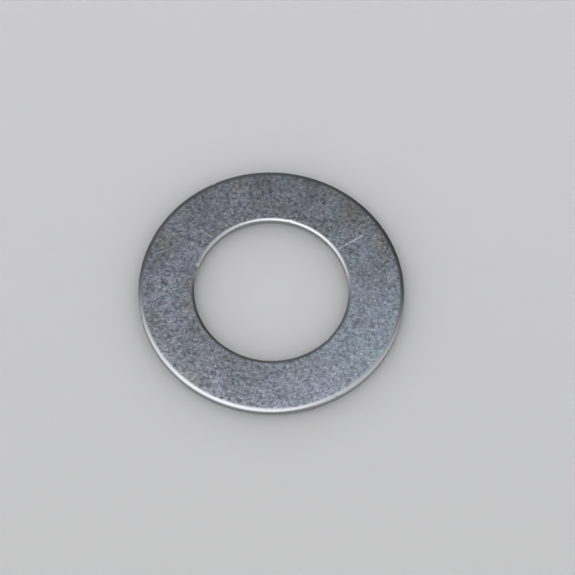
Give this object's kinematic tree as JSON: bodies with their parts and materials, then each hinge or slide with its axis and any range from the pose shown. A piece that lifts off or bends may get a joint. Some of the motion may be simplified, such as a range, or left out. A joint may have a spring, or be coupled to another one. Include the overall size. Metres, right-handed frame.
{
  "type": "flat washer",
  "caption": "Thin flat steel washer: a plain punched ring with rounded upper edges, spreading the load of a bolt head or nut.",
  "frame": {"origin": "on the ring's axis, in the plane of its lower face, which is the sheared side", "axes": "+Z along the ring's axis, from the lower face towards the upper face with the rounded edges; X and Y are any two directions across the face"},
  "size_m": [0.035, 0.035, 0.001],
  "materials": {
    "steel": "tumbled, satin"
  },
  "bodies": {
    "root": {"flat_washer": "steel"}
  },
  "joints": []
}
